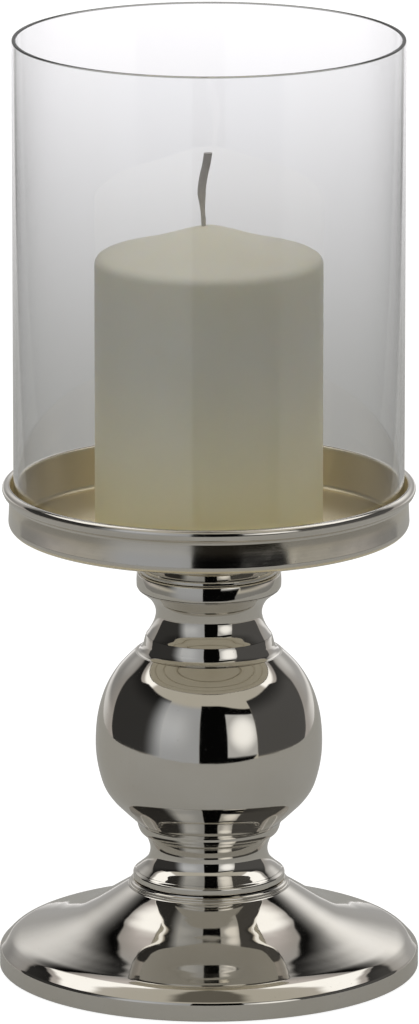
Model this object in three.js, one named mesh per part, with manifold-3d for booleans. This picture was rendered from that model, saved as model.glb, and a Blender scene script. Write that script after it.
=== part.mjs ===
// Hurricane candle lantern: a turned, plated metal stand that carries a tray, an open glass
// cylinder and a pillar candle. Millimetres, +Z up, origin on the table under the stem's axis.
import * as THREE from 'three';
import { mergeVertices } from 'three/addons/utils/BufferGeometryUtils.js';
import Module from 'manifold-3d';

const wasm = await Module();
wasm.setup();

// ---- driving dimensions -------------------------------------------------------------------
const GAP = 0.3;                 // clearance between pieces that touch
const TOTAL_HEIGHT = 330.5;      // table to the glass rim

const FOOT_RADIUS = 73.4;
const FOOT_WALL_TOP = 6;         // the foot's upright wall ends here in a crisp edge
const FOOT_TOP = 31.6;
const FOOT_SHEET = 1;
const RIM_BOTTOM = 0.4;          // the felt stands this much proud of the metal rim

const ROD_RADIUS = 4;            // M8 tie rod
const BORE = ROD_RADIUS + 0.4;
const NUT_FLATS = 13;            // across the flats, M8
const BASE_NUT_HEIGHT = 6.5;
const TOP_NUT_HEIGHT = 4;
const WASHER_RADIUS = 8;
const WASHER_THICKNESS = 1.6;
const SPRING_WASHER_RADIUS = 7.4;
const SPRING_WASHER_THICKNESS = 2;
const SPRING_WASHER_SPLIT = 0.16;   // radians left open

const FELT_THICKNESS = 3.3;
const PLATE_SHEET = 1.5;
const PLATE_DOME_UNDERSIDE = 17; // the plate is dished up so that the nut clears the table
const PLATE_DOME_RADIUS = 17;

const COLLAR_RING_TOP = 34.8;
const LOWER_SPOOL_TOP = 47.7;
const LOWER_STEP_TOP = 53.2;
const BALL_RADIUS = 39.57;
const BALL_WIDEST = 82;          // height of the ball's widest circle
const BALL_TOP = 113.5;
const BALL_SHEET = 1.2;
const UPPER_STEP_TOP = 119.4;
const UPPER_SPOOL_TOP = 136.5;
const BEAD_TOP = 142;
const CAPITAL_DISC_TOP = 143.6;
const SPACER_RADIUS = 6.2;

const TRAY_UNDERSIDE = 157.5;
const TRAY_SHEET = 0.8;
const TRAY_WALL_RADIUS = 69.7;
const TRAY_LIP_RADIUS = 71.9;
const TRAY_LIP_TOP = 173.8;
const TRAY_CORNER = 3;           // outside radius between the tray's floor and wall
const DIMPLE_RADIUS = 13;        // the tray's sunken centre, outside
const DIMPLE_UNDERSIDE = 150.4;
const TRAY_WASHER_RADIUS = 11.5;
const TRAY_WASHER_THICKNESS = 1.4;
const FLANGE_RADIUS = 30;

const GLASS_RADIUS = 67.9;
const GLASS_WALL = 2.4;
const GLASS_BOTTOM = TRAY_UNDERSIDE + TRAY_SHEET + 0.5;
const GLASS_ARRIS = 0.7;         // the ground bevel on the rims

const CANDLE_RADIUS = 39.6;
const CANDLE_SHOULDER = 252;     // the straight side ends here
const CANDLE_APEX = 264.9;
const WICK_RADIUS = 0.8;
const WICK_TOP = 290.6;
const WICK_OFFSET = -1.8;        // the wick stands a little off the candle's axis, along X
const CLIP_RADIUS = 8;
const CLIP_THICKNESS = 0.4;
const CLIP_NECK_RADIUS = 1.9;
const CLIP_NECK_HEIGHT = 4.4;

const FINE_TURN = 40;            // facets round the large pieces
const PLAIN_TURN = 28;           // facets round the stem pieces
const SMALL_TURN = 16;           // facets round the fasteners

// ---- heights worked out from the dimensions above -----------------------------------------
const TRAY_FLOOR = TRAY_UNDERSIDE + TRAY_SHEET;
const DIMPLE_FLOOR = DIMPLE_UNDERSIDE + TRAY_SHEET;
const CANDLE_BOTTOM = TRAY_FLOOR + GAP;
const FLANGE_TOP = TRAY_UNDERSIDE - GAP;
const PLATE_UNDERSIDE = FELT_THICKNESS + GAP;
const BASE_WASHER_BOTTOM = PLATE_DOME_UNDERSIDE - GAP - WASHER_THICKNESS;
const SPRING_WASHER_BOTTOM = BASE_WASHER_BOTTOM - GAP - SPRING_WASHER_THICKNESS;
const BASE_NUT_BOTTOM = SPRING_WASHER_BOTTOM - GAP - BASE_NUT_HEIGHT;
const ROD_BOTTOM = BASE_NUT_BOTTOM - 1.5;
const TRAY_WASHER_BOTTOM = DIMPLE_FLOOR + GAP;
const TOP_NUT_BOTTOM = TRAY_WASHER_BOTTOM + TRAY_WASHER_THICKNESS + GAP;
const ROD_TOP = TOP_NUT_BOTTOM + TOP_NUT_HEIGHT + 0.6;

// ---- finishes -----------------------------------------------------------------------------
const finish = (color, roughness, metalness, extra = {}) =>
  new THREE.MeshStandardMaterial({ color, roughness, metalness, ...extra });

const platedMetal = () => finish(0xc9c6c0, 0.12, 1);
const zincSteel = () => finish(0xa9abad, 0.38, 1);
const blackenedSteel = () => finish(0x4a4b4d, 0.5, 0.9);
const clearGlass = () => finish(0xe9edf2, 0.03, 0, { transparent: true, opacity: 0.3 });
const ivoryWax = () => finish(0xe6dfc6, 0.45, 0);
const cottonWick = () => finish(0xd9d2c4, 0.9, 0);
const tinPlate = () => finish(0xb5b3ad, 0.35, 1);
const greyFelt = () => finish(0x3b3c3f, 0.95, 0);

// ---- building helpers ---------------------------------------------------------------------

// Points of an arc in the outline's plane, from angle a0 to a1 in degrees.
function arc(centreR, centreZ, radius, a0, a1, steps) {
  const points = [];
  for (let i = 0; i <= steps; i += 1) {
    const angle = THREE.MathUtils.degToRad(a0 + ((a1 - a0) * i) / steps);
    points.push([centreR + radius * Math.cos(angle), centreZ + radius * Math.sin(angle)]);
  }
  return points;
}

// Points of a smooth curve through a few [radius, height] points.
function flow(through, steps) {
  const knots = through.map(([r, z]) => new THREE.Vector3(r, 0, z));
  return new THREE.CatmullRomCurve3(knots).getPoints(steps).map((p) => [p.x, p.z]);
}

// The same outline moved inwards by a sheet's thickness, read back to front.
function innerFace(outline, sheet) {
  const moved = outline.map(([r, z], i) => {
    const [r0, z0] = outline[Math.max(i - 1, 0)];
    const [r1, z1] = outline[Math.min(i + 1, outline.length - 1)];
    const along = Math.hypot(r1 - r0, z1 - z0);
    return [r - (sheet * (z1 - z0)) / along, z + (sheet * (r1 - r0)) / along];
  });
  return moved.reverse();
}

// A turned solid from an outline that runs up its outside. An outline that doesn't start and
// end on the axis is closed on itself, which leaves a bore through the piece.
function turned(outline, facets) {
  const points = outline.map(([r, z]) => new THREE.Vector2(r, z));
  const onAxis = points[0].x === 0 && points[points.length - 1].x === 0;
  if (!onAxis) points.push(points[0].clone());
  return new THREE.LatheGeometry(points, facets).rotateX(Math.PI / 2);
}

// A ring or disc of plain rectangular section.
const ring = (inner, outer, bottom, top, facets) =>
  turned([[inner, bottom], [outer, bottom], [outer, top], [inner, top]], facets);

const disc = (radius, bottom, top, facets) =>
  turned([[0, bottom], [radius, bottom], [radius, top], [0, top]], facets);

// A flat shape given a height.
function plate(shape, bottom, height, curveSegments) {
  const options = { depth: height, bevelEnabled: false, curveSegments };
  return new THREE.ExtrudeGeometry(shape, options).translate(0, 0, bottom);
}

function hexNut(bottom, height) {
  const corner = NUT_FLATS / Math.sqrt(3);
  const shape = new THREE.Shape();
  for (let i = 0; i < 6; i += 1) {
    const angle = (i * Math.PI) / 3;
    const method = i === 0 ? 'moveTo' : 'lineTo';
    shape[method](corner * Math.cos(angle), corner * Math.sin(angle));
  }
  shape.closePath();
  const hole = new THREE.Path();
  hole.absarc(0, 0, BORE, 0, Math.PI * 2, true);
  shape.holes.push(hole);
  return plate(shape, bottom, height, SMALL_TURN / 2);
}

// A closed geometry as a solid that can be cut, and back again.
function solid(geometry) {
  const bare = geometry.clone();
  bare.deleteAttribute('normal');
  bare.deleteAttribute('uv');
  const merged = mergeVertices(bare, 1e-4);
  return new wasm.Manifold(new wasm.Mesh({
    numProp: 3,
    vertProperties: merged.attributes.position.array,
    triVerts: new Uint32Array(merged.index.array),
  }));
}

function fromSolid(body) {
  const { vertProperties, triVerts } = body.getMesh();
  const geometry = new THREE.BufferGeometry();
  geometry.setAttribute('position', new THREE.BufferAttribute(vertProperties, 3));
  geometry.setIndex(new THREE.BufferAttribute(triVerts, 1));
  geometry.computeVertexNormals();
  return geometry;
}

const stand = new THREE.Group();
const glass = new THREE.Group();
const candle = new THREE.Group();

function add(group, name, geometry, material) {
  const mesh = new THREE.Mesh(geometry, material);
  mesh.name = name;
  group.add(mesh);
  return mesh;
}

// ---- foot ---------------------------------------------------------------------------------

// Spun sheet: an upright wall, a rounded edge, a long sweep up to a neck with three fine beads.
function footShell() {
  const edge = [[FOOT_RADIUS, FOOT_WALL_TOP], [72.8, 7], [71.9, 9], [69.6, 10.6], [66, 12]];
  const sweep = flow([[66, 12], [60, 13.7], [54, 15.5], [47, 18.3], [41, 21.6], [36.6, 24.4],
    [31.8, 27.4]], 7).slice(1);
  const outside = [[FOOT_RADIUS, RIM_BOTTOM], ...edge, ...sweep];
  const beads = [[31.8, 28.5], [29.8, 28.9], [29.8, 29.8], [28.6, 30.1], [28.6, FOOT_TOP]];
  const webUnderside = FOOT_TOP - 1.2;
  const inside = innerFace([...outside, [27.2, webUnderside + 0.7]], FOOT_SHEET);
  inside.shift();
  inside[inside.length - 1] = [FOOT_RADIUS - FOOT_SHEET, RIM_BOTTOM];
  const web = [[BORE, FOOT_TOP], [BORE, webUnderside], [26.4, webUnderside]];
  return turned([...outside, ...beads, ...web, ...inside], FINE_TURN);
}

// Pressed steel closing plate, dished in the middle; the nut pulls it up into the foot.
function basePlate() {
  const rim = FOOT_RADIUS - FOOT_SHEET - 0.6;
  const coneFoot = PLATE_DOME_RADIUS + 7;
  const slope = 0.6;
  return turned([
    [coneFoot, PLATE_UNDERSIDE],
    [rim, PLATE_UNDERSIDE],
    [rim, PLATE_UNDERSIDE + PLATE_SHEET],
    [coneFoot + PLATE_SHEET * slope, PLATE_UNDERSIDE + PLATE_SHEET],
    [PLATE_DOME_RADIUS + PLATE_SHEET * slope, PLATE_DOME_UNDERSIDE + PLATE_SHEET],
    [BORE, PLATE_DOME_UNDERSIDE + PLATE_SHEET],
    [BORE, PLATE_DOME_UNDERSIDE],
    [PLATE_DOME_RADIUS, PLATE_DOME_UNDERSIDE],
  ], FINE_TURN);
}

// A coil-section lock washer, flattened, with its split.
function springWasher() {
  const half = SPRING_WASHER_SPLIT / 2;
  const shape = new THREE.Shape();
  shape.absarc(0, 0, SPRING_WASHER_RADIUS, half, Math.PI * 2 - half, false);
  shape.absarc(0, 0, BORE, Math.PI * 2 - half, half, true);
  shape.closePath();
  return plate(shape, SPRING_WASHER_BOTTOM, SPRING_WASHER_THICKNESS, SMALL_TURN);
}

function addFoot() {
  const feltRadius = FOOT_RADIUS - FOOT_SHEET - GAP;
  add(stand, 'felt_pad', disc(feltRadius, 0, FELT_THICKNESS, FINE_TURN), greyFelt());
  add(stand, 'foot_shell', footShell(), platedMetal());
  add(stand, 'base_plate', basePlate(), blackenedSteel());
  add(stand, 'base_washer', ring(BORE, WASHER_RADIUS, BASE_WASHER_BOTTOM,
    BASE_WASHER_BOTTOM + WASHER_THICKNESS, SMALL_TURN), zincSteel());
  add(stand, 'spring_washer', springWasher(), zincSteel());
  add(stand, 'base_nut', hexNut(BASE_NUT_BOTTOM, BASE_NUT_HEIGHT), zincSteel());
}

// ---- stem ---------------------------------------------------------------------------------

// A stem piece is turned from the bar round the rod's bore; its outline gives the outside only.
function stemPiece(name, outside) {
  const bottom = outside[0][1];
  const top = outside[outside.length - 1][1];
  add(stand, name, turned([[BORE, bottom], ...outside, [BORE, top]], PLAIN_TURN), platedMetal());
}

function addLowerStem() {
  stemPiece('foot_collar_ring', [[25.8, FOOT_TOP + GAP], [26.5, FOOT_TOP + 0.8], [26.5, 33.7],
    [26.1, 34.4], [25.3, COLLAR_RING_TOP]]);
  stemPiece('lower_spool', flow([[25.2, COLLAR_RING_TOP + GAP], [23, 37], [21.3, 39],
    [20.5, 42], [21.1, 45.2], [22.2, LOWER_SPOOL_TOP]], 7));
  stemPiece('lower_step_ring', [[22.9, LOWER_SPOOL_TOP + GAP], [24.2, 49.1], [24.8, 50.6],
    [25.3, 52.2], [25.6, LOWER_STEP_TOP]]);
}

// Hollow ball, a little fuller below its widest circle, with a flat seat and a hole at each end.
function ballShell() {
  const bottom = LOWER_STEP_TOP + GAP;
  const outside = flow([[26, bottom], [29.9, 57], [33.9, 61.2], [37, 66.4], [39.1, 75],
    [BALL_RADIUS, BALL_WIDEST], [38.6, 91.5], [36, 100], [31.8, 107], [25.8, BALL_TOP]], 12);
  const inside = innerFace(outside, BALL_SHEET).slice(1, -1);
  const hole = SPACER_RADIUS + 0.4;
  return turned([
    [hole, bottom], ...outside, [hole, BALL_TOP], [hole, BALL_TOP - BALL_SHEET],
    [25, BALL_TOP - BALL_SHEET], ...inside, [25.1, bottom + BALL_SHEET], [hole, bottom + BALL_SHEET],
  ], FINE_TURN);
}

function addBall() {
  add(stand, 'ball_shell', ballShell(), platedMetal());
  add(stand, 'ball_spacer_tube', ring(BORE, SPACER_RADIUS, LOWER_STEP_TOP + GAP, BALL_TOP,
    SMALL_TURN), zincSteel());
}

function addUpperStem() {
  stemPiece('upper_step_ring', [[24.3, BALL_TOP + GAP], [23.3, 115], [22.7, 116.8], [22.2, 118.6],
    [21.8, UPPER_STEP_TOP]]);
  stemPiece('upper_spool', flow([[21.7, UPPER_STEP_TOP + GAP], [20.1, 122], [18.7, 125.6],
    [18.6, 128.8], [20, 132], [22, 134], [24.6, UPPER_SPOOL_TOP]], 8));
  stemPiece('upper_bead_collar', [[24.7, UPPER_SPOOL_TOP + GAP], [25.2, 138], [25.2, 140.9],
    [24.8, BEAD_TOP]]);
  stemPiece('capital_disc', [[24, BEAD_TOP + GAP], [24.2, 142.9], [24, CAPITAL_DISC_TOP]]);
}

// ---- tray ---------------------------------------------------------------------------------

// The flared capital that the tray sits on, counterbored for the tray's sunken centre.
function trayFlange() {
  const bottom = CAPITAL_DISC_TOP + GAP;
  const pocket = DIMPLE_RADIUS + GAP;
  const cove = flow([[22.5, bottom], [18.4, 146.2], [17.6, 149], [21, 152.6], [FLANGE_RADIUS, 155.4]],
    7);
  return turned([[BORE, bottom], ...cove, [FLANGE_RADIUS, FLANGE_TOP], [pocket, FLANGE_TOP],
    [pocket, DIMPLE_UNDERSIDE - GAP], [BORE, DIMPLE_UNDERSIDE - GAP]], PLAIN_TURN);
}

// Spun sheet: sunken centre, flat floor, upright wall and a rolled lip.
function trayPan() {
  const inner = TRAY_CORNER - TRAY_SHEET;
  const cornerR = TRAY_WALL_RADIUS - TRAY_CORNER;
  const wallInside = TRAY_WALL_RADIUS - TRAY_SHEET;
  const lipR = TRAY_LIP_RADIUS - 1.6;
  const lipZ = TRAY_LIP_TOP - 1.6;
  return turned([
    [BORE, DIMPLE_UNDERSIDE],
    [DIMPLE_RADIUS, DIMPLE_UNDERSIDE],
    [DIMPLE_RADIUS, TRAY_UNDERSIDE],
    ...arc(cornerR, TRAY_UNDERSIDE + TRAY_CORNER, TRAY_CORNER, -90, 0, 4),
    [TRAY_WALL_RADIUS, 168.2],
    [lipR + 0.9, 169.2],
    ...arc(lipR, lipZ, 1.6, -40, 90, 5),
    [wallInside + 0.5, TRAY_LIP_TOP - 0.1],
    [wallInside, TRAY_LIP_TOP - 0.8],
    ...arc(cornerR, TRAY_UNDERSIDE + TRAY_CORNER, inner, 0, -90, 4),
    [DIMPLE_RADIUS - TRAY_SHEET, TRAY_FLOOR],
    [DIMPLE_RADIUS - TRAY_SHEET, DIMPLE_FLOOR],
    [BORE, DIMPLE_FLOOR],
  ], FINE_TURN);
}

function addTray() {
  add(stand, 'tray_flange', trayFlange(), platedMetal());
  add(stand, 'tray_pan', trayPan(), platedMetal());
  add(stand, 'tray_washer', ring(BORE, TRAY_WASHER_RADIUS, TRAY_WASHER_BOTTOM,
    TRAY_WASHER_BOTTOM + TRAY_WASHER_THICKNESS, SMALL_TURN), zincSteel());
  add(stand, 'top_nut', hexNut(TOP_NUT_BOTTOM, TOP_NUT_HEIGHT), zincSteel());
}

// The rod that clamps the whole stand between its two nuts.
function addTieRod() {
  const bevel = 0.8;
  add(stand, 'tie_rod', turned([
    [0, ROD_BOTTOM], [ROD_RADIUS - bevel, ROD_BOTTOM], [ROD_RADIUS, ROD_BOTTOM + bevel],
    [ROD_RADIUS, ROD_TOP - bevel], [ROD_RADIUS - bevel, ROD_TOP], [0, ROD_TOP],
  ], SMALL_TURN), zincSteel());
}

// ---- glass and candle ---------------------------------------------------------------------

function addGlass() {
  const inner = GLASS_RADIUS - GLASS_WALL;
  const top = TOTAL_HEIGHT;
  add(glass, 'glass_cylinder', turned([
    [inner + GLASS_ARRIS, GLASS_BOTTOM], [GLASS_RADIUS - GLASS_ARRIS, GLASS_BOTTOM],
    [GLASS_RADIUS, GLASS_BOTTOM + GLASS_ARRIS], [GLASS_RADIUS, top - GLASS_ARRIS],
    [GLASS_RADIUS - GLASS_ARRIS, top], [inner + GLASS_ARRIS, top],
    [inner, top - GLASS_ARRIS], [inner, GLASS_BOTTOM + GLASS_ARRIS],
  ], FINE_TURN), clearGlass());
}

// The wick's way through the wax, widened at the bottom for the clip and its neck.
function wickBore() {
  const wall = 0.35;
  const clipTop = CANDLE_BOTTOM + CLIP_THICKNESS + 2 * wall;
  const neckTop = CANDLE_BOTTOM + CLIP_NECK_HEIGHT + 2 * wall;
  return turned([
    [0, CANDLE_BOTTOM - 1], [CLIP_RADIUS + wall, CANDLE_BOTTOM - 1], [CLIP_RADIUS + wall, clipTop],
    [CLIP_NECK_RADIUS + wall, clipTop], [CLIP_NECK_RADIUS + wall, neckTop],
    [WICK_RADIUS + wall, neckTop], [WICK_RADIUS + wall, CANDLE_APEX + 1], [0, CANDLE_APEX + 1],
  ], SMALL_TURN).translate(WICK_OFFSET, 0, 0);
}

function candleWax() {
  const shoulder = flow([[CANDLE_RADIUS, CANDLE_SHOULDER], [38.9, 253.4], [36.6, 254.7],
    [31, 256.4]], 5);
  const body = turned([[0, CANDLE_BOTTOM], [CANDLE_RADIUS - 1, CANDLE_BOTTOM],
    [CANDLE_RADIUS, CANDLE_BOTTOM + 1], ...shoulder, [3, CANDLE_APEX - 0.5], [0, CANDLE_APEX]],
  FINE_TURN);
  return fromSolid(solid(body).subtract(solid(wickBore())));
}

// Round braid: straight inside the wax, then a slight bow to -X and a tip that leans to +X.
function candleWick() {
  const bottom = CANDLE_BOTTOM + CLIP_THICKNESS + GAP;
  const path = new THREE.CatmullRomCurve3([
    new THREE.Vector3(WICK_OFFSET, 0, bottom),
    new THREE.Vector3(WICK_OFFSET, 0, CANDLE_APEX + 1),
    new THREE.Vector3(WICK_OFFSET - 0.3, 0, 272),
    new THREE.Vector3(WICK_OFFSET - 0.5, 0, 278),
    new THREE.Vector3(WICK_OFFSET + 0.4, 0, 284.5),
    new THREE.Vector3(WICK_OFFSET + 1.9, 0, WICK_TOP - 0.3),
  ]);
  const section = new THREE.Shape().absarc(0, 0, WICK_RADIUS, 0, Math.PI * 2, false);
  return new THREE.ExtrudeGeometry(section, { steps: 20, curveSegments: 8, extrudePath: path });
}

// Crimped tin clip that holds the wick's lower end.
function wickClip() {
  const bottom = CANDLE_BOTTOM + 0.1;
  const crimp = WICK_RADIUS + 0.35;
  return turned([
    [crimp, bottom], [CLIP_RADIUS, bottom], [CLIP_RADIUS, bottom + CLIP_THICKNESS],
    [CLIP_NECK_RADIUS, bottom + CLIP_THICKNESS], [CLIP_NECK_RADIUS, CANDLE_BOTTOM + CLIP_NECK_HEIGHT],
    [crimp, CANDLE_BOTTOM + CLIP_NECK_HEIGHT],
  ], SMALL_TURN).translate(WICK_OFFSET, 0, 0);
}

function addCandle() {
  add(candle, 'candle_wax', candleWax(), ivoryWax());
  add(candle, 'candle_wick', candleWick(), cottonWick());
  add(candle, 'wick_clip', wickClip(), tinPlate());
}

addFoot();
addLowerStem();
addBall();
addUpperStem();
addTray();
addTieRod();
addGlass();
addCandle();

const lantern = new THREE.Group();
lantern.add(stand, glass, candle);

export default lantern;
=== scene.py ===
"""Hurricane candle lantern: polished plated stand, clear glass tube, ivory pillar candle.

Outlines are in millimetres, as (radius, height) points read up the outside of each turned piece,
and become metres where they are drawn.
"""

import math

import bpy
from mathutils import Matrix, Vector


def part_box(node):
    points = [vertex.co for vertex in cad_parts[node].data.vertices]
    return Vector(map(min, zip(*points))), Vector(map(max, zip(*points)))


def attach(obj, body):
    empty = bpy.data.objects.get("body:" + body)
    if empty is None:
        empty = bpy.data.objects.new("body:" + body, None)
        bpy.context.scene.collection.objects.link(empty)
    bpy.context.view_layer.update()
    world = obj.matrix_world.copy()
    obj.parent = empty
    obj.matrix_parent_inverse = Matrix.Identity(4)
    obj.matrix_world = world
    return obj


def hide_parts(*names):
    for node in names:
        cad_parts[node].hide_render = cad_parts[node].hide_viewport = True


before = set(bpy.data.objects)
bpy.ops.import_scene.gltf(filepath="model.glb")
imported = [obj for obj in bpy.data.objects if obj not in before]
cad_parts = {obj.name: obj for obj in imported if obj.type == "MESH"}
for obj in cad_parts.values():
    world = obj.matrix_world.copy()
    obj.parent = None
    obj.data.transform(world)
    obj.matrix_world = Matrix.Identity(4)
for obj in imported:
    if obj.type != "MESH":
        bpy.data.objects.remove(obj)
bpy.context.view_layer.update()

MM = 0.001
FULL_TURN = 2 * math.pi
DEGREES = 180 / math.pi
FINE_STEPS = 224      # facets round the large turned pieces
PLAIN_STEPS = 160     # facets round the stem pieces
SEAM = 0.05           # millimetres left between stacked pieces
CRISP = math.radians(32)     # edges sharper than this are left sharp


def height(node):
    """Lowest and highest millimetre of a node of the frame."""
    low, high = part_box(node)
    return low.z / MM, high.z / MM


def radius(node):
    """Largest radius of a round node of the frame, in millimetres."""
    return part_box(node)[1].x / MM


# ---- camera -------------------------------------------------------------------------------

CAMERA_ELEVATION = math.radians(13.75)
CAMERA_DISTANCE = 3.4476
CAMERA_LENS = 348.9
AIM = Vector((0.0002, 0, 0.1631))


def add_camera():
    """The one camera, in front of the lantern and looking a little down on it."""
    away = Vector((0, -math.cos(CAMERA_ELEVATION), math.sin(CAMERA_ELEVATION)))
    bpy.ops.object.camera_add(location=AIM + away * CAMERA_DISTANCE,
                              rotation=(math.pi / 2 - CAMERA_ELEVATION, 0, 0))
    camera = bpy.context.object
    camera.name = "camera"
    camera.data.sensor_width = 36
    camera.data.lens = CAMERA_LENS
    camera.data.clip_end = 50
    bpy.context.scene.camera = camera


# ---- node maths ---------------------------------------------------------------------------

class Wire:
    """One output socket; arithmetic on it adds Math nodes to the same tree."""

    def __init__(self, bench, socket):
        self.bench = bench
        self.socket = socket

    def maths(self, operation, *values):
        return self.bench.node("ShaderNodeMath", {"operation": operation}, dict(enumerate(values)))

    def __add__(self, other):
        return self.maths("ADD", self, other)

    def __radd__(self, other):
        return self.maths("ADD", other, self)

    def __sub__(self, other):
        return self.maths("SUBTRACT", self, other)

    def __rsub__(self, other):
        return self.maths("SUBTRACT", other, self)

    def __mul__(self, other):
        return self.maths("MULTIPLY", self, other)

    def __rmul__(self, other):
        return self.maths("MULTIPLY", other, self)

    def __truediv__(self, other):
        return self.maths("DIVIDE", self, other)

    def __rtruediv__(self, other):
        return self.maths("DIVIDE", other, self)

    def __abs__(self):
        return self.maths("ABSOLUTE", self)


class Bench:
    """A node tree to work on. node() adds every node; the rest are short names for common ones."""

    def __init__(self, tree):
        self.tree = tree
        self.tree.nodes.clear()

    def node(self, kind, settings=None, inputs=None, output=0):
        """Adds a node with its settings, then its sockets' values or links; gives one output."""
        made = self.tree.nodes.new(kind)
        for key, value in (settings or {}).items():
            setattr(made, key, value)
        for key, value in (inputs or {}).items():
            if isinstance(value, Wire):
                self.tree.links.new(value.socket, made.inputs[key])
            else:
                made.inputs[key].default_value = value
        return Wire(self, made.outputs[output]) if len(made.outputs) else None

    def smooth(self, value, low, high):
        """0 below low, 1 above high, with a soft step between."""
        inputs = {"Value": value, "From Min": low, "From Max": high}
        return self.node("ShaderNodeMapRange", {"interpolation_type": "SMOOTHSTEP"}, inputs)

    def band(self, value, low, high, soft):
        """1 between low and high, with soft ends."""
        rise = self.smooth(value, low - soft, low + soft)
        fall = self.smooth(value, high - soft, high + soft)
        return rise * (1 - fall)

    def split(self, vector):
        first = self.node("ShaderNodeSeparateXYZ", None, {0: vector})
        return [Wire(self, socket) for socket in first.socket.node.outputs]

    def join(self, x, y, z):
        return self.node("ShaderNodeCombineXYZ", None, {0: x, 1: y, 2: z})

    def blend(self, factor, first, second, mode="MIX"):
        """Mixes two colours, each a Wire or an (r, g, b) tuple."""
        first, second = [c if isinstance(c, Wire) else (*c, 1) for c in (first, second)]
        settings = {"data_type": "RGBA", "blend_type": mode}
        return self.node("ShaderNodeMix", settings, {0: factor, 6: first, 7: second}, 2)

    def noise(self, vector, scale, detail=2.0, roughness=0.5, distortion=0.0):
        inputs = {"Vector": vector, "Scale": scale, "Detail": detail, "Roughness": roughness,
                  "Distortion": distortion}
        return self.node("ShaderNodeTexNoise", None, inputs)

    def bump(self, value, strength, distance, normal=None):
        inputs = {"Height": value, "Strength": strength, "Distance": distance}
        if normal is not None:
            inputs["Normal"] = normal
        return self.node("ShaderNodeBump", None, inputs)

    def object_place(self):
        return self.node("ShaderNodeTexCoord", output="Object")

    def off_axis(self, x, y):
        """Distance from the lantern's axis."""
        return self.node("ShaderNodeMath", {"operation": "SQRT"}, {0: x * x + y * y})

    def rays(self, kind):
        """One output of the Light Path node, by name."""
        return self.node("ShaderNodeLightPath", output=kind)

    def surface(self, shader):
        self.node("ShaderNodeOutputMaterial", None, {"Surface": shader})


def material(name):
    """A new material and the bench for its nodes."""
    made = bpy.data.materials.new(name)
    made.use_nodes = True
    return made, Bench(made.node_tree)


# ---- surroundings -------------------------------------------------------------------------

TABLE_DEPTH = 0.45        # how far the rounded front edge stands from the lantern's axis
TABLE_SIDE = 0.56
TABLE_BACK = 3.2
BACKDROP_NEAR = 0.72      # the table starts to brighten here, behind the lantern
BACKDROP_FAR = 1.95

# Directions in degrees: azimuth 0 is the front and grows to the right, elevation 0 is level.
HORIZON = -11             # the near edge of the table as the ball sees it
PANEL_END = -9.7          # where the left panel ends and the dark gap starts
WINDOW_LEFT = 19
WINDOW_RIGHT = 50.5
WINDOW_GLOW = (36, 11)    # brightest place of the window
GLOW_SIZE = (18, 19)
DARK_START = 51           # the dark side walls start here, on both sides

UNDER_TABLE = (0.235, 0.232, 0.224)
SIDE_PANEL = (1.30, 1.29, 1.27)
GAP = (0.002, 0.002, 0.002)
CEILING_FRONT = (0.50, 0.475, 0.415)
CEILING_BACK = (0.60, 0.56, 0.55)
CEILING_SHADE = (0.36, 0.34, 0.325)
CEILING_TOP = (0.13, 0.12, 0.10)


def grey(bench, tone, warmth):
    """A colour from one varying tone."""
    return bench.join(tone * warmth[0], tone * warmth[1], tone * warmth[2])


def studio(bench, direction):
    """Light of the studio by direction, laid on from the far parts to the near ones."""
    x, y, z = bench.split(direction)
    azimuth = bench.node("ShaderNodeMath", {"operation": "ARCTAN2"}, {0: x, 1: 0 - y}) * DEGREES
    elevation = bench.node("ShaderNodeMath", {"operation": "ARCSINE"}, {0: z}) * DEGREES
    turned = abs(azimuth)
    colour = ceiling(bench, turned, elevation)
    behind = bench.smooth(turned, 118, 150) * (1 - bench.smooth(elevation, 38, 50))
    colour = bench.blend(behind, colour, back_light(bench, azimuth, elevation))
    colour = bench.blend(side_panels(bench, turned, elevation), colour, SIDE_PANEL)
    for part in (dark_sides, under_table, left_panel, front_gap, window):
        where, tone = part(bench, azimuth, elevation)
        colour = bench.blend(where, colour, tone)
    return colour


def dark_top(bench, turned):
    """Elevation of the dark walls' upper edge."""
    return (41 - 5 * bench.smooth(turned, 98, 112) + 10 * bench.smooth(turned, 133, 144)
            - 7 * bench.smooth(turned, 152, 186))


def ceiling(bench, turned, elevation):
    """Beige over the front, cooler towards the back and shaded just above the dark walls."""
    colour = bench.blend(bench.smooth(turned, 60, 130), CEILING_FRONT, CEILING_BACK)
    over_wall = bench.smooth(elevation - dark_top(bench, turned), -2, 14)
    shaded = bench.smooth(turned, 100, 130) * (1 - over_wall)
    colour = bench.blend(shaded, colour, CEILING_SHADE)
    front = 1 - bench.smooth(turned, 28, 44)
    return bench.blend(bench.smooth(elevation, 58, 66) * front, colour, CEILING_TOP)


def back_light(bench, azimuth, elevation):
    """Soft grey behind the lantern with one broad bright band, brighter on the right."""
    band = bench.band(elevation, 17, 31, 7) * bench.smooth(abs(azimuth), 128, 160)
    reach = 0.40 + 0.24 * bench.smooth(azimuth, -40, 40)
    low = 1 - bench.smooth(elevation, -2, 4)
    left_side = (1 - bench.smooth(azimuth, -20, 20)) * bench.smooth(azimuth, -166, -148)
    return grey(bench, 0.42 - 0.15 * left_side + band * reach + 0.45 * low, (1, 0.99, 0.985))


def side_panels(bench, turned, elevation):
    """Where the two white panels hang, one above each dark side wall."""
    upright = bench.smooth(elevation, 38, 41) * (1 - bench.smooth(elevation, 72, 77))
    return bench.band(turned, 90, 137, 4) * upright


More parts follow.
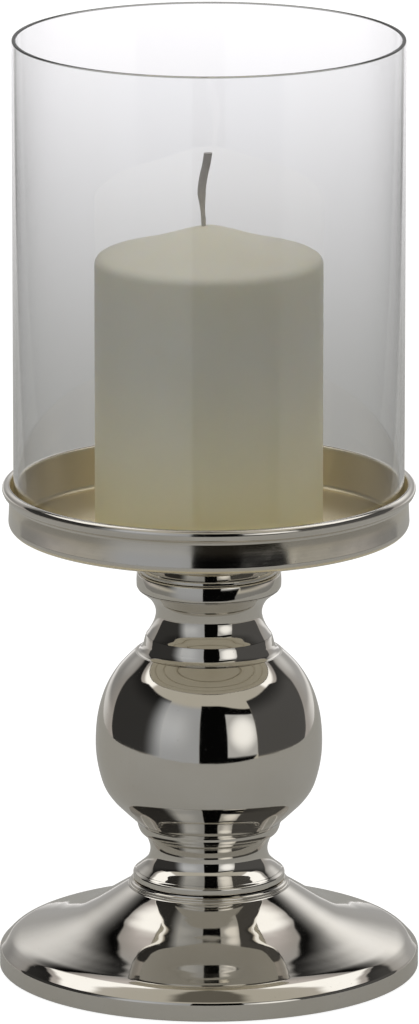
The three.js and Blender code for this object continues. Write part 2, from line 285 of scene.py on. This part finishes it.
def dark_sides(bench, azimuth, elevation):
    """The dark side walls, which arch over towards the back."""
    turned = abs(azimuth)
    arch = bench.smooth(turned, 112, 140)
    low_edge = HORIZON + 1.5 + 45.5 * arch
    above = bench.smooth((elevation - low_edge) / (1 + 6 * arch), -1, 1)
    below = 1 - bench.smooth(elevation - dark_top(bench, turned), -0.8, 0.8)
    side = bench.smooth(turned, DARK_START - 0.6, DARK_START + 0.6)
    depth = 1 - 0.65 * bench.smooth(elevation, 22, 40)
    right = bench.smooth(azimuth, -5, 5)
    tone = (0.037 + 0.050 * right) * depth * (1 - 0.8 * bench.smooth(turned, 120, 150))
    return above * below * side, grey(bench, tone, (1, 0.98, 0.97))


def under_table(bench, azimuth, elevation):
    """Everything below the table's near edge."""
    return 1 - bench.smooth(elevation, HORIZON - 1, HORIZON + 0.5), UNDER_TABLE


def left_panel(bench, azimuth, elevation):
    """The cool soft panel left of the dark gap, brightest in its middle."""
    right_end = 1 - bench.smooth(azimuth, PANEL_END - 0.5, PANEL_END + 0.5)
    where = (bench.smooth(azimuth, -72, -46) * right_end * bench.smooth(elevation, -30, -9)
             * (1 - bench.smooth(elevation, 36, 43)))
    middle = bench.band(azimuth, -60, -24, 12) * bench.band(elevation, 2, 30, 14)
    return where, grey(bench, 0.3996 + 0.162 * middle, (0.97, 1, 1.05))


def front_gap(bench, azimuth, elevation):
    """The black gap round the window, from the left panel to the right wall."""
    right = 42 + 9 * bench.smooth(elevation, -14, -6)
    top = 42 - 9.5 * bench.smooth(azimuth, 8, 54)
    where = (bench.smooth(azimuth, PANEL_END - 0.5, PANEL_END + 0.5)
             * (1 - bench.smooth(azimuth - right, -1, 1)) * bench.smooth(elevation, -70, -50)
             * (1 - bench.smooth(elevation - top, -0.7, 0.7)))
    return where, GAP


def window(bench, azimuth, elevation):
    """The bright window in the gap, fading from its glow to its edges."""
    top = 31.5 - 5 * bench.smooth(azimuth, 16, 54)
    where = (bench.band(azimuth, WINDOW_LEFT, WINDOW_RIGHT, 0.6)
             * bench.smooth(elevation, -8.6, -7.6)
             * (1 - bench.smooth(elevation - top, -0.7, 0.7)))
    across = (azimuth - WINDOW_GLOW[0]) / GLOW_SIZE[0]
    up = (elevation - WINDOW_GLOW[1]) / GLOW_SIZE[1]
    tone = 0.50 + 0.66 * (1 - bench.smooth(across * across + up * up, 0, 1))
    return where, grey(bench, tone, (1, 0.995, 0.985))


def add_surroundings():
    """A world that is plain white to the camera and the studio to everything else."""
    world = bpy.data.worlds.new("studio")
    bpy.context.scene.world = world
    world.use_nodes = True
    bench = Bench(world.node_tree)
    colour = studio(bench, bench.node("ShaderNodeTexCoord", output="Generated"))
    shown = bench.blend(bench.rays("Is Camera Ray"), colour, (1, 1, 1))
    scattered = bench.smooth(bench.rays("Diffuse Depth"), 0, 1)
    lit = bench.node("ShaderNodeBackground", None,
                     {"Color": shown, "Strength": 1 + 0.5 * scattered})
    bench.node("ShaderNodeOutputWorld", None, {"Surface": lit})


def table_finish():
    """Pale tabletop lit by its own painted glow: near-white to the camera, and to everything else
    grey near the lantern, brightening into the backdrop behind it.
    """
    made, bench = material("pale_table")
    y = bench.split(bench.object_place())[1]
    far = bench.smooth(y, BACKDROP_NEAR, BACKDROP_FAR)
    rising = bench.smooth(y, 0.3, 1.3)
    tone = bench.blend(far, (0.180, 0.180, 0.176), (0.94, 0.925, 0.965))
    tone = bench.blend(rising * 0.06, tone, (1, 1, 1), "ADD")
    seen = bench.rays("Is Camera Ray")
    # Painted light: the emission, not the lamps, makes the table near-white to the camera and sets
    # the grey-to-bright floor seen in reflections.
    shader = bench.node("ShaderNodeBsdfPrincipled", None, {
        "Base Color": bench.blend(seen, (0.26, 0.26, 0.25), (0.35, 0.35, 0.35)),
        "Emission Color": bench.blend(seen, tone, (0.88, 0.88, 0.88)),
        "Emission Strength": 1.0, "Roughness": 0.8, "Specular IOR Level": 0.0})
    bench.surface(shader)
    return made


def add_table():
    """A tabletop with a rounded front edge, straight sides and a far back edge."""
    on_cut = -1e-5
    bpy.ops.object.select_all(action="DESELECT")
    bpy.ops.mesh.primitive_circle_add(vertices=128, radius=1, fill_type="NGON",
                                      enter_editmode=True)
    bpy.ops.mesh.bisect(plane_co=(0, 0, 0), plane_no=(0, 1, 0), clear_outer=True, use_fill=False)
    bpy.ops.mesh.select_all(action="SELECT")
    bpy.ops.transform.resize(value=(TABLE_SIDE, TABLE_DEPTH, 1), center_override=(0, 0, 0))
    bpy.ops.object.mode_set(mode="OBJECT")
    table = bpy.context.object
    for vertex in table.data.vertices:
        vertex.select = vertex.co.y > on_cut
    for edge in table.data.edges:
        edge.select = all(table.data.vertices[i].co.y > on_cut for i in edge.vertices)
    for face in table.data.polygons:
        face.select = False
    bpy.ops.object.mode_set(mode="EDIT")
    bpy.ops.mesh.extrude_edges_move(TRANSFORM_OT_translate={"value": (0, TABLE_BACK, 0)})
    bpy.ops.object.mode_set(mode="OBJECT")
    table.name = "table"
    table.data.materials.append(table_finish())


# ---- outlines -----------------------------------------------------------------------------

def arc(centre_r, centre_z, size, start, end, steps):
    """Points of an arc in the outline's plane, from start to end in degrees."""
    turn_by = (end - start) / steps
    angles = [math.radians(start + i * turn_by) for i in range(steps + 1)]
    return [(centre_r + size * math.cos(a), centre_z + size * math.sin(a)) for a in angles]


def flow(knots, steps):
    """Points of a smooth curve through the knots, with steps points between each pair."""
    ends = [knots[0], *knots, knots[-1]]
    points = []
    for a, b, c, d in zip(ends, ends[1:], ends[2:], ends[3:]):
        for i in range(steps):
            t = i / steps
            weights = (-t + 2 * t * t - t ** 3, 2 - 5 * t * t + 3 * t ** 3,
                       t + 4 * t * t - 3 * t ** 3, t ** 3 - t * t)
            points.append(tuple(sum(w * p[k] for w, p in zip(weights, (a, b, c, d))) / 2
                                for k in (0, 1)))
    return [*points, knots[-1]]


def round_off(corner, before, after, size, steps=4):
    """A corner of the outline rounded by about size, between the points before and after it."""
    def towards(point):
        along = math.dist(corner, point)
        share = min(size / along, 0.5)
        return tuple(c + (p - c) * share for c, p in zip(corner, point))
    first, last = towards(before), towards(after)
    points = []
    for i in range(steps + 1):
        t = i / steps
        points.append(tuple((1 - t) ** 2 * f + 2 * t * (1 - t) * c + t * t * l
                            for f, c, l in zip(first, corner, last)))
    return points


def eased(outline, sizes, steps=4):
    """An open outline with the corners named in sizes {index: size} rounded off."""
    points = []
    for i, point in enumerate(outline):
        if i in sizes:
            points += round_off(point, outline[i - 1], outline[i + 1], sizes[i], steps)
        else:
            points.append(point)
    return points


def offset(outline, sheet):
    """The outline moved inwards by a sheet's thickness, read back to front."""
    moved = []
    for i, (r, z) in enumerate(outline):
        r0, z0 = outline[max(i - 1, 0)]
        r1, z1 = outline[min(i + 1, len(outline) - 1)]
        along = math.hypot(r1 - r0, z1 - z0)
        moved.append((r - sheet * (z1 - z0) / along, z + sheet * (r1 - r0) / along))
    return moved[::-1]


# ---- modelling ----------------------------------------------------------------------------

def start_point(name, r, z):
    """A new mesh in edit mode that is one vertex, at radius r and height z in millimetres."""
    if bpy.context.mode != "OBJECT":
        bpy.ops.object.mode_set(mode="OBJECT")
    bpy.ops.object.select_all(action="DESELECT")
    bpy.ops.mesh.primitive_plane_add(size=MM, enter_editmode=True)
    bpy.context.object.name = name
    bpy.ops.mesh.merge(type="CENTER")
    bpy.ops.transform.translate(value=(r * MM, 0, z * MM))


def draw(points):
    """Extrudes the selected vertex from point to point."""
    for (r0, z0), (r1, z1) in zip(points, points[1:]):
        step = ((r1 - r0) * MM, 0, (z1 - z0) * MM)
        bpy.ops.mesh.extrude_vertices_move(TRANSFORM_OT_translate={"value": step})


def finish_mesh(slot_material, crisp=CRISP):
    """Leaves edit mode with faces outwards, smooth but for edges sharper than crisp."""
    bpy.ops.mesh.select_all(action="SELECT")
    bpy.ops.mesh.remove_doubles(threshold=2e-6)
    bpy.ops.mesh.normals_make_consistent(inside=False)
    bpy.ops.object.mode_set(mode="OBJECT")
    piece = bpy.context.object
    bpy.ops.object.shade_smooth_by_angle(angle=crisp)
    bpy.ops.object.modifier_add(type="WEIGHTED_NORMAL")
    piece.modifiers[-1].keep_sharp = True
    bpy.ops.object.modifier_apply(modifier=piece.modifiers[-1].name)
    piece.data.materials.clear()
    piece.data.materials.append(slot_material)
    return piece


def turned(name, outline, steps, finish, crisp=CRISP):
    """A turned piece: the outline is drawn, spun once round the axis and closed."""
    on_axis = outline[0][0] == 0 and outline[-1][0] == 0
    points = outline if on_axis else [*outline, outline[0]]
    start_point(name, *points[0])
    draw(points)
    bpy.ops.mesh.select_all(action="SELECT")
    bpy.ops.mesh.spin(steps=steps, angle=FULL_TURN, center=(0, 0, 0), axis=(0, 0, 1))
    return finish_mesh(finish, crisp)


def mount(piece, body, slot_name, *nodes):
    """Hands a finished piece over: what it rides on and the nodes it replaces; slot_name is not
    used.
    """
    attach(piece, body)
    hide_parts(*nodes)
    return piece


# ---- finishes -----------------------------------------------------------------------------

def round_the_axis(bench, along, across):
    """Coordinates that run slowly round the axis and fast along the outline: turning lines."""
    x, y, z = bench.split(bench.object_place())
    r = bench.off_axis(x, y) + 1e-6
    return bench.join(x / r * along, y / r * along, z * across + r * across * 0.9)


def shade(colour, share):
    """A colour made darker, by one share or by a share of each part."""
    shares = share if isinstance(share, tuple) else (share,) * 3
    return tuple(c * k for c, k in zip(colour, shares))


# The tray's painted reflection tint: inside this radius and above this height, and on the
# underside.
TINT_RADIUS = 69.3
TINT_HEIGHT = 158.1
PAINTED_REFLECTION_ABOVE = (0.90, 0.80, 0.575)
PAINTED_REFLECTION_BELOW = (0.96, 0.90, 0.76)
TINTED_DULLNESS = 0.24


def tray_painted_tint(bench, colour, rough):
    """Lays painted reflections on the tray's plating, warm inside it and pale beige underneath,
    duller there; returns colour, roughness and a painted glow.
    """
    x, y, z = bench.split(bench.object_place())
    reach = bench.off_axis(x, y) / MM
    up = z / MM
    inside = ((1 - bench.smooth(reach, TINT_RADIUS - 0.3, TINT_RADIUS + 0.3))
              * bench.smooth(up, TINT_HEIGHT - 0.2, TINT_HEIGHT + 0.2))
    under = ((1 - bench.smooth(reach, TINT_RADIUS - 3, TINT_RADIUS - 2))
             * (1 - bench.smooth(up, TINT_HEIGHT - 0.5, TINT_HEIGHT - 0.2)))
    # Painted glow: the tinted inside of the tray gives off a faint light of its own.
    glow = bench.blend(inside, (0, 0, 0), tuple(0.05 * c ** 1.6 for c in PAINTED_REFLECTION_ABOVE))
    # Painted reflections: a warm ivory tint inside the tray where it reflects the candle, and a
    # pale beige one on the underside.
    colour = bench.blend(inside, colour, PAINTED_REFLECTION_ABOVE)
    colour = bench.blend(under, colour, PAINTED_REFLECTION_BELOW)
    return colour, rough + (inside + under) * TINTED_DULLNESS, glow


def plated(name, base, roughness, haze, lines, with_painted_tint=False):
    """Polished plating: faint turning lines, hairline scratches, haze and slow waviness."""
    made, bench = material(name)
    place = bench.object_place()
    slow = bench.noise(place, 38, 3, 0.55)
    haze_map = bench.noise(place, 120, 4, 0.6, 0.4)
    rings = bench.noise(round_the_axis(bench, 0.6, 2600), 1.0, 3, 0.6)
    hairs = bench.noise(round_the_axis(bench, 26, 900), 1.0, 2, 0.5, 1.2)
    scratch = bench.smooth(hairs, 0.66, 0.74)
    specks = bench.smooth(bench.noise(place, 900, 1), 0.74, 0.8)
    colour = bench.blend(bench.smooth(slow, 0.3, 0.7), base, shade(base, (0.97, 0.962, 0.94)))
    colour = bench.blend(specks * 0.35, colour, shade(base, 0.72))
    rough = (roughness + haze * bench.smooth(haze_map, 0.42, 0.75) + lines * rings
             + 0.05 * scratch + 0.12 * specks)
    waves = bench.bump(slow, 0.10, 0.0006)
    sockets = {"Metallic": 1.0, "Normal": bench.bump(rings, 0.05, 0.00002, waves)}
    if with_painted_tint:
        # The tray gets its painted reflection tint and painted glow here.
        colour, rough, sockets["Emission Color"] = tray_painted_tint(bench, colour, rough)
        sockets["Emission Strength"] = 1.0
    sockets.update({"Base Color": colour, "Roughness": rough})
    bench.surface(bench.node("ShaderNodeBsdfPrincipled", None, sockets))
    return made


def steel(name, base, roughness, grain):
    """Zinc, tin or blackened steel: mottled spangle, fine grain and worn high spots."""
    made, bench = material(name)
    place = bench.object_place()
    spangle = bench.noise(place, 420, 3, 0.6)
    dust = bench.noise(place, 2600, 2, 0.6)
    colour = bench.blend(bench.smooth(spangle, 0.35, 0.68), base, shade(base, 0.7))
    rough = roughness + 0.16 * spangle + grain * dust
    shader = bench.node("ShaderNodeBsdfPrincipled", None, {
        "Base Color": colour, "Metallic": 1.0, "Roughness": rough,
        "Normal": bench.bump(dust, 0.25, 0.00004)})
    bench.surface(shader)
    return made


def clear_glass():
    """Clear tube: faint drawing waves along its length, a little dust and wiped haze."""
    made, bench = material("clear_glass")
    place = bench.object_place()
    x, y, z = bench.split(place)
    drawn = bench.noise(bench.join(x * 60, y * 60, z * 6), 1.0, 2, 0.5)
    wiped = bench.noise(bench.join(x * 40 + z * 22, y * 40, z * 30), 1.0, 4, 0.6, 0.8)
    haze = bench.smooth(wiped, 0.56, 0.8)
    shader = bench.node("ShaderNodeBsdfPrincipled", None, {
        "Base Color": (0.975, 0.98, 0.985, 1), "Metallic": 0.0, "IOR": 1.5,
        "Roughness": 0.004 + 0.03 * haze, "Transmission Weight": 1.0,
        "Normal": bench.bump(drawn, 0.03, 0.0004)})
    bench.surface(shader)
    return made


def ivory_wax():
    """Pillar candle wax: soft, mottled ivory with a dull bloom, fine pits and drawn streaks, with
    painted warm light and a faint painted glow, strongest near the bottom.
    """
    made, bench = material("ivory_wax")
    place = bench.object_place()
    x, y, z = bench.split(place)
    cloud = bench.noise(place, 34, 4, 0.6, 0.3)
    streak = bench.noise(bench.join(x * 260, y * 260, z * 14), 1.0, 3, 0.6)
    pits = bench.smooth(bench.noise(place, 700, 2, 0.5), 0.68, 0.76)
    colour = bench.blend(bench.smooth(cloud, 0.3, 0.72), (0.87, 0.85, 0.72), (0.90, 0.885, 0.78))
    # Painted light: yellower towards the bottom, standing in for warm light thrown up from the
    # tray.
    colour = bench.blend(0.8 - 0.8 * bench.smooth(z, 0.158, 0.222), colour, (0.96, 0.91, 0.66))
    colour = bench.blend(0.10 * streak, colour, (0.76, 0.72, 0.56))
    colour = bench.blend(pits * 0.35, colour, (0.68, 0.64, 0.50))
    rough = 0.34 + 0.14 * cloud + 0.10 * streak + 0.1 * pits
    # Painted glow: the wax gives off a faint light everywhere, stronger near the bottom.
    painted_low_glow = 1 - bench.smooth(z, 0.158, 0.232)
    rise = 0.6 * cloud + 0.3 * streak - 0.5 * pits
    shader = bench.node("ShaderNodeBsdfPrincipled", None, {
        "Base Color": colour, "Roughness": rough, "IOR": 1.44, "Subsurface Weight": 0.35,
        "Subsurface Radius": (0.9, 0.75, 0.45), "Subsurface Scale": 0.012,
        "Emission Color": bench.blend(painted_low_glow, (0.012, 0.011, 0.007), (0.112, 0.097, 0.045)),
        "Emission Strength": 1.0,
        "Normal": bench.bump(rise, 0.25, 0.00012)})
    bench.surface(shader)
    return made


def cotton_wick():
    """Braided cotton, dipped: pale at the foot, greyer and stiffer with wax towards the tip."""
    made, bench = material("cotton_wick")
    place = bench.object_place()
    x, y, z = bench.split(place)
    tip = bench.smooth(z, 0.268, 0.287)
    fibre = bench.noise(bench.join(x * 4000, y * 4000, z * 700), 1.0, 3, 0.6)
    colour = bench.blend(tip, (0.66, 0.63, 0.58), (0.56, 0.54, 0.54))
    colour = bench.blend(0.40 * fibre, colour, (0.34, 0.32, 0.30))
    shader = bench.node("ShaderNodeBsdfPrincipled", None, {
        "Base Color": colour, "Roughness": 0.62 + 0.25 * fibre,
        "Normal": bench.bump(fibre, 0.5, 0.00015)})
    bench.surface(shader)
    return made


def grey_felt():
    """Pressed felt: dark tufts, paler where it clouds, with a soft sheen."""
    made, bench = material("grey_felt")
    place = bench.object_place()
    tuft = bench.noise(place, 900, 4, 0.7, 0.6)
    cloud = bench.noise(place, 60, 3, 0.5)
    colour = bench.blend(tuft, (0.035, 0.036, 0.04), (0.10, 0.10, 0.108))
    colour = bench.blend(0.3 * cloud, colour, (0.14, 0.14, 0.145))
    shader = bench.node("ShaderNodeBsdfPrincipled", None, {
        "Base Color": colour, "Roughness": 0.9 + 0.08 * tuft, "Sheen Weight": 0.4,
        "Sheen Roughness": 0.5, "Normal": bench.bump(tuft, 0.6, 0.0003)})
    bench.surface(shader)
    return made


NICKEL = (0.74, 0.715, 0.665)

POLISHED = plated("polished_plate", NICKEL, 0.030, 0.02, 0.02)
TRAY_PLATE = plated("tray_plate", NICKEL, 0.060, 0.03, 0.05, with_painted_tint=True)
ZINC = steel("zinc_steel", (0.62, 0.63, 0.64), 0.24, 0.12)
BLACKENED = steel("blackened_steel", (0.10, 0.10, 0.105), 0.45, 0.15)
TIN = steel("tin_plate", (0.68, 0.67, 0.64), 0.26, 0.10)
GLASS = clear_glass()
WAX = ivory_wax()
WICK = cotton_wick()
FELT = grey_felt()


# ---- stand --------------------------------------------------------------------------------

ROD_HOLE = 4.4
FOOT_SHEET = 1.0
BALL_SHEET = 1.2


def stem(name, outside, node):
    """A stem piece turned from the bar round the rod's hole."""
    bottom, top = outside[0][1], outside[-1][1]
    piece = turned(name, [(ROD_HOLE, bottom), *outside, (ROD_HOLE, top)], PLAIN_STEPS, POLISHED)
    return mount(piece, "stand", "plated_metal", node)


def make_foot():
    """Spun foot: a short upright rim, a rounded shoulder, a long sweep and two neck beads."""
    rim = radius("foot_shell")
    bottom, top = height("foot_shell")
    wall = [(rim - 0.2, bottom), (rim, bottom + 0.25), *arc(rim - 2, 5.9, 2, 0, 45, 8)]
    shoulder = flow([wall[-1], (71.9, 8.3), (70.6, 9.65), (69.2, 10.8), (67.2, 11.75),
                     (64.4, 12.55), (59.6, 13.85), (53.5, 15.65), (47, 18.15), (41.4, 21.2),
                     (37, 23.95), (33.4, 26.25), (30.4, 28.1), (28.2, 29.35)], 6)[1:]
    beads = [*arc(27.75, 29.85, 0.38, -40, 80, 6), *arc(27.2, 30.6, 0.4, -50, 80, 6)]
    outside = [*wall, *shoulder]
    lid = top - 1.2
    inside = offset([*outside, (26.4, lid + 0.5)], FOOT_SHEET)[1:-1]
    web = [(26.9, 31.2), (26.7, top), (ROD_HOLE, top), (ROD_HOLE, lid), (25.6, lid)]
    outline = [*outside, *beads, *web, *inside, (rim - FOOT_SHEET, bottom)]
    mount(turned("foot", outline, FINE_STEPS, POLISHED), "stand", "plated_metal", "foot_shell")


def make_felt():
    """Felt disc under the foot, its edges softly rounded."""
    size = radius("felt_pad")
    top = height("felt_pad")[1]
    low_edge = 0.5
    high_edge = 0.4
    outline = [(0, 0), (size - low_edge, 0),
               *arc(size - low_edge, low_edge, low_edge, -90, 0, 4)[1:],
               *arc(size - high_edge, top - high_edge, high_edge, 0, 90, 4), (0, top)]
    mount(turned("felt", outline, FINE_STEPS, FELT), "stand", "felt", "felt_pad")


def make_lower_stem():
    """Between foot and ball: a beaded ring, a waist and a step."""
    ring = [(25.6, 31.6 + SEAM), *arc(25.85, 32.45, 0.65, -70, 0, 5),
            *arc(25.7, 33.7, 0.8, 0, 60, 5), (25.6, 34.7), (25.3, 35.0)]
    waist = flow([(25.2, 35.0 + SEAM), (24.05, 36), (22.3, 37.6), (21.15, 39.3), (20.55, 41.6),
                  (20.65, 43.6), (21.3, 45.7), (22.1, 47.4), (22.5, 47.9)], 5)
    step = [(22.55, 47.9 + SEAM), *flow([(23.1, 48.1), (24.1, 49.05), (24.75, 50.5), (25.1, 52),
                                         (25.6, 52.8), (26, 53.3)], 5)]
    stem("foot_collar", ring, "foot_collar_ring")
    stem("lower_waist", waist, "lower_spool")
    stem("lower_step", step, "lower_step_ring")


def make_ball():
    """Hollow ball with a hole for the rod's tube at each end."""
    bottom, top = height("ball_shell")
    hole = 6.6
    outside = flow([(26.0, bottom - 0.15), (29.9, 57), (34.0, 61.2), (37.0, 66.2), (39.05, 74.2),
                    (39.57, 82), (38.75, 91), (36.2, 99.6), (31.9, 107), (25.7, top)], 10)
    inside = offset(outside, BALL_SHEET)[1:-1]
    lower, upper = outside[0][1], outside[-1][1]
    floor, roof = lower + BALL_SHEET, upper - BALL_SHEET
    outline = [(hole, lower), *outside, (hole, upper), (hole, roof),
               (inside[0][0] - 0.2, roof), *inside[1:-1],
               (inside[-1][0] - 0.2, floor), (hole, floor)]
    mount(turned("ball", outline, FINE_STEPS, POLISHED), "stand", "plated_metal", "ball_shell")


def make_upper_stem():
    """Between ball and tray: a step, a waist, a plain band and a thin plate."""
    step = [(25.2, 113.5 + SEAM), *flow([(24.6, 113.7), (23.6, 114.6), (22.9, 116), (22.6, 117.2),
                                         (22.2, 118.7), (21.9, 119.5)], 5)]
    waist = flow([(21.8, 119.5 + SEAM), (20.9, 120.9), (19.6, 123.2), (18.75, 125.6),
                  (18.5, 127.8), (19, 130.1), (20.3, 132.4), (22.4, 134.4), (24.4, 135.9),
                  (24.8, 136.4)], 5)
    band = eased([(24.7, 136.4 + SEAM), (25.2, 136.9), (25.25, 139.2), (25.1, 141.9),
                  (24.8, 142.2)], {1: 0.4, 3: 0.4})
    plate = eased([(23.9, 142.2 + SEAM), (24.2, 142.45), (24.2, 143.5), (23.8, 143.75)],
                  {1: 0.2, 2: 0.2})
    stem("upper_step", step, "upper_step_ring")
    stem("upper_waist", waist, "upper_spool")
    stem("upper_band", band, "upper_bead_collar")
    stem("capital_plate", plate, "capital_disc")


def make_capital():
    """Flared capital under the tray, with a round pocket for the tray's sunken centre."""
    low, high = height("tray_flange")
    pocket = 13.3
    floor = 150.1
    cove = flow([(22.6, low - 0.1), (18.8, 145.8), (17.7, 148.4), (20.4, 152.2), (25.6, 154.3),
                 (29.3, 155)], 6)
    outline = [(ROD_HOLE, low - 0.1), *cove, *arc(29.2, 155.8, 0.8, -80, 0, 5), (30, high - 0.4),
               (29.6, high), (pocket, high), (pocket, floor), (ROD_HOLE, floor)]
    piece = turned("capital", outline, PLAIN_STEPS, POLISHED)
    mount(piece, "stand", "plated_metal", "tray_flange")


TRAY_WALL = 69.7
TRAY_SHEET = 0.8
TRAY_BASE = 157.5
TRAY_RINGS = (36, 44, 52, 60)     # radii of the shallow rings pressed in the underside


def underside_ring(r):
    """One shallow raised ring on the tray's underside."""
    return [(r - 1.6, TRAY_BASE), *arc(r, TRAY_BASE + 0.2, 0.8, -165, -15, 6),
            (r + 1.6, TRAY_BASE)]


def make_tray():
    """Spun tray: sunken centre, ringed underside, upright wall and a rolled lip."""
    low, high = height("tray_pan")
    lip = radius("tray_pan")
    base = TRAY_BASE
    corner = 3.0
    inner = corner - TRAY_SHEET
    floor = base + TRAY_SHEET
    turn_r = TRAY_WALL - corner
    dimple = 13.0
    roll = 1.75
    lip_r, lip_z = lip - roll, high - roll
    outline = [
        (ROD_HOLE, low),
        *eased([(6, low), (dimple, low), (dimple, base), (20, base)], {1: 1.2, 2: 1.0}),
        *[point for r in TRAY_RINGS for point in underside_ring(r)],
        *arc(turn_r, base + corner, corner, -90, 0, 10),
        (TRAY_WALL - 0.25, 165.5),
        *flow([(TRAY_WALL - 0.25, 168.3), (69.9, 169.15), (70.7, 169.75), (71.4, 170.6)], 4),
        *arc(lip_r, lip_z, roll, -25, 95, 14),
        *flow([(69.45, 173.65), (69.0, 173.1), (68.85, 171.8)], 4),
        *arc(turn_r, base + corner, inner, 0, -90, 8),
        *eased([(20, floor), (dimple - TRAY_SHEET, floor), (dimple - TRAY_SHEET, low + TRAY_SHEET),
                (6, low + TRAY_SHEET)], {1: 1.2, 2: 0.8}),
        (ROD_HOLE, low + TRAY_SHEET),
    ]
    piece = turned("tray", outline, FINE_STEPS, TRAY_PLATE)
    mount(piece, "stand", "plated_metal", "tray_pan")


# ---- glass and candle ---------------------------------------------------------------------

def make_glass():
    """Clear tube, open at both ends, with rounded edges."""
    bottom, top = height("glass_cylinder")
    outer = radius("glass_cylinder")
    wall = 1.5
    inner = outer - wall
    edge = 0.6
    outline = [
        *arc(outer - edge, bottom + edge, edge, -90, 0, 5),
        (outer, 200), (outer, 245), (outer, 290),
        *arc(outer - edge, top - edge, edge, 0, 90, 6),
        *arc(inner + edge, top - edge, edge, 90, 180, 6),
        (inner, 290), (inner, 245), (inner, 200),
        *arc(inner + edge, bottom + edge, edge, 180, 270, 5),
    ]
    mount(turned("glass_tube", outline, FINE_STEPS, GLASS), "glass", "clear_glass",
          "glass_cylinder")


WICK_X = -1.8        # the wick stands this far off the candle's axis


def make_wax():
    """Pillar candle: straight side, soft shoulder and a low cone up to the wick."""
    bottom, apex = height("candle_wax")
    size = radius("candle_wax")
    side = [(size - 0.8, bottom), (size, bottom + 0.9), (size, 190), (size, 222), (size, 251.6)]
    shoulder = flow([(size, 251.6), (39.35, 252.7), (38.5, 253.75), (36.9, 254.6), (34, 255.35),
                     (28, 256.95), (20, 259.35), (12, 262.0), (6, 263.9), (3, 264.65),
                     (1.2, apex)], 5)
    outline = [(0, bottom), *side[:-1], *shoulder, (0, apex)]
    mount(turned("candle", outline, FINE_STEPS, WAX), "candle", "ivory_wax", "candle_wax")


def pinch(circle, every, share, centre):
    """Draws in the rim vertices of a flat circle at each place named by every, to leave lobes."""
    bpy.ops.object.mode_set(mode="OBJECT")
    for vertex in circle.data.vertices:
        angle = math.degrees(math.atan2(vertex.co.y - centre[1], vertex.co.x - centre[0]))
        vertex.select = abs((angle + every / 2) % every - every / 2) < 1
    for part in [*circle.data.edges, *circle.data.polygons]:
        part.select = False
    bpy.ops.object.mode_set(mode="EDIT")
    bpy.ops.transform.resize(value=(share, share, 1), center_override=centre)
    bpy.ops.mesh.select_all(action="SELECT")


def make_wick():
    """A braid: a lobed ring extruded up its bent line with a small turn at each step."""
    bottom, top = height("candle_wick")
    knots = [(WICK_X, bottom), (WICK_X, 258), (WICK_X - 0.1, 266), (WICK_X - 0.45, 272),
             (WICK_X - 0.7, 277), (WICK_X - 0.1, 282), (WICK_X + 0.9, 286.5),
             (WICK_X + 1.5, top - 0.05)]
    line = flow(knots, 16)
    bpy.ops.object.select_all(action="DESELECT")
    bpy.ops.mesh.primitive_circle_add(vertices=18, radius=0.78 * MM, fill_type="NGON",
                                      enter_editmode=True)
    pinch(bpy.context.object, 120, 0.72, (0, 0, 0))
    bpy.ops.transform.translate(value=(line[0][0] * MM, 0, line[0][1] * MM))
    for (x0, z0), (x1, z1) in zip(line, line[1:]):
        step = ((x1 - x0) * MM, 0, (z1 - z0) * MM)
        bpy.ops.mesh.extrude_region_move(TRANSFORM_OT_translate={"value": step})
        place = (x1 * MM, 0, z1 * MM)
        swell = 1.035 if 270 < z1 < 276 else 1.0
        bpy.ops.transform.resize(value=(swell, swell, 1), center_override=place)
        bpy.ops.transform.rotate(value=0.3, orient_axis="Z", center_override=place)
    piece = finish_mesh(WICK, math.radians(60))
    piece.name = "wick"
    mount(piece, "candle", "cotton_wick", "candle_wick")


def repaint(node, finish):
    """Gives a node that is carried over from the frame its worked finish."""
    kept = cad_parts[node]
    kept.data.materials.clear()
    kept.data.materials.append(finish)


add_camera()
add_surroundings()
add_table()
make_felt()
make_foot()
make_lower_stem()
make_ball()
make_upper_stem()
make_capital()
make_tray()
make_glass()
make_wax()
make_wick()

for node in ("base_washer", "spring_washer", "base_nut", "ball_spacer_tube", "tray_washer",
             "top_nut", "tie_rod"):
    repaint(node, ZINC)
repaint("base_plate", BLACKENED)
repaint("wick_clip", TIN)

bpy.context.scene.view_settings.view_transform = "Standard"
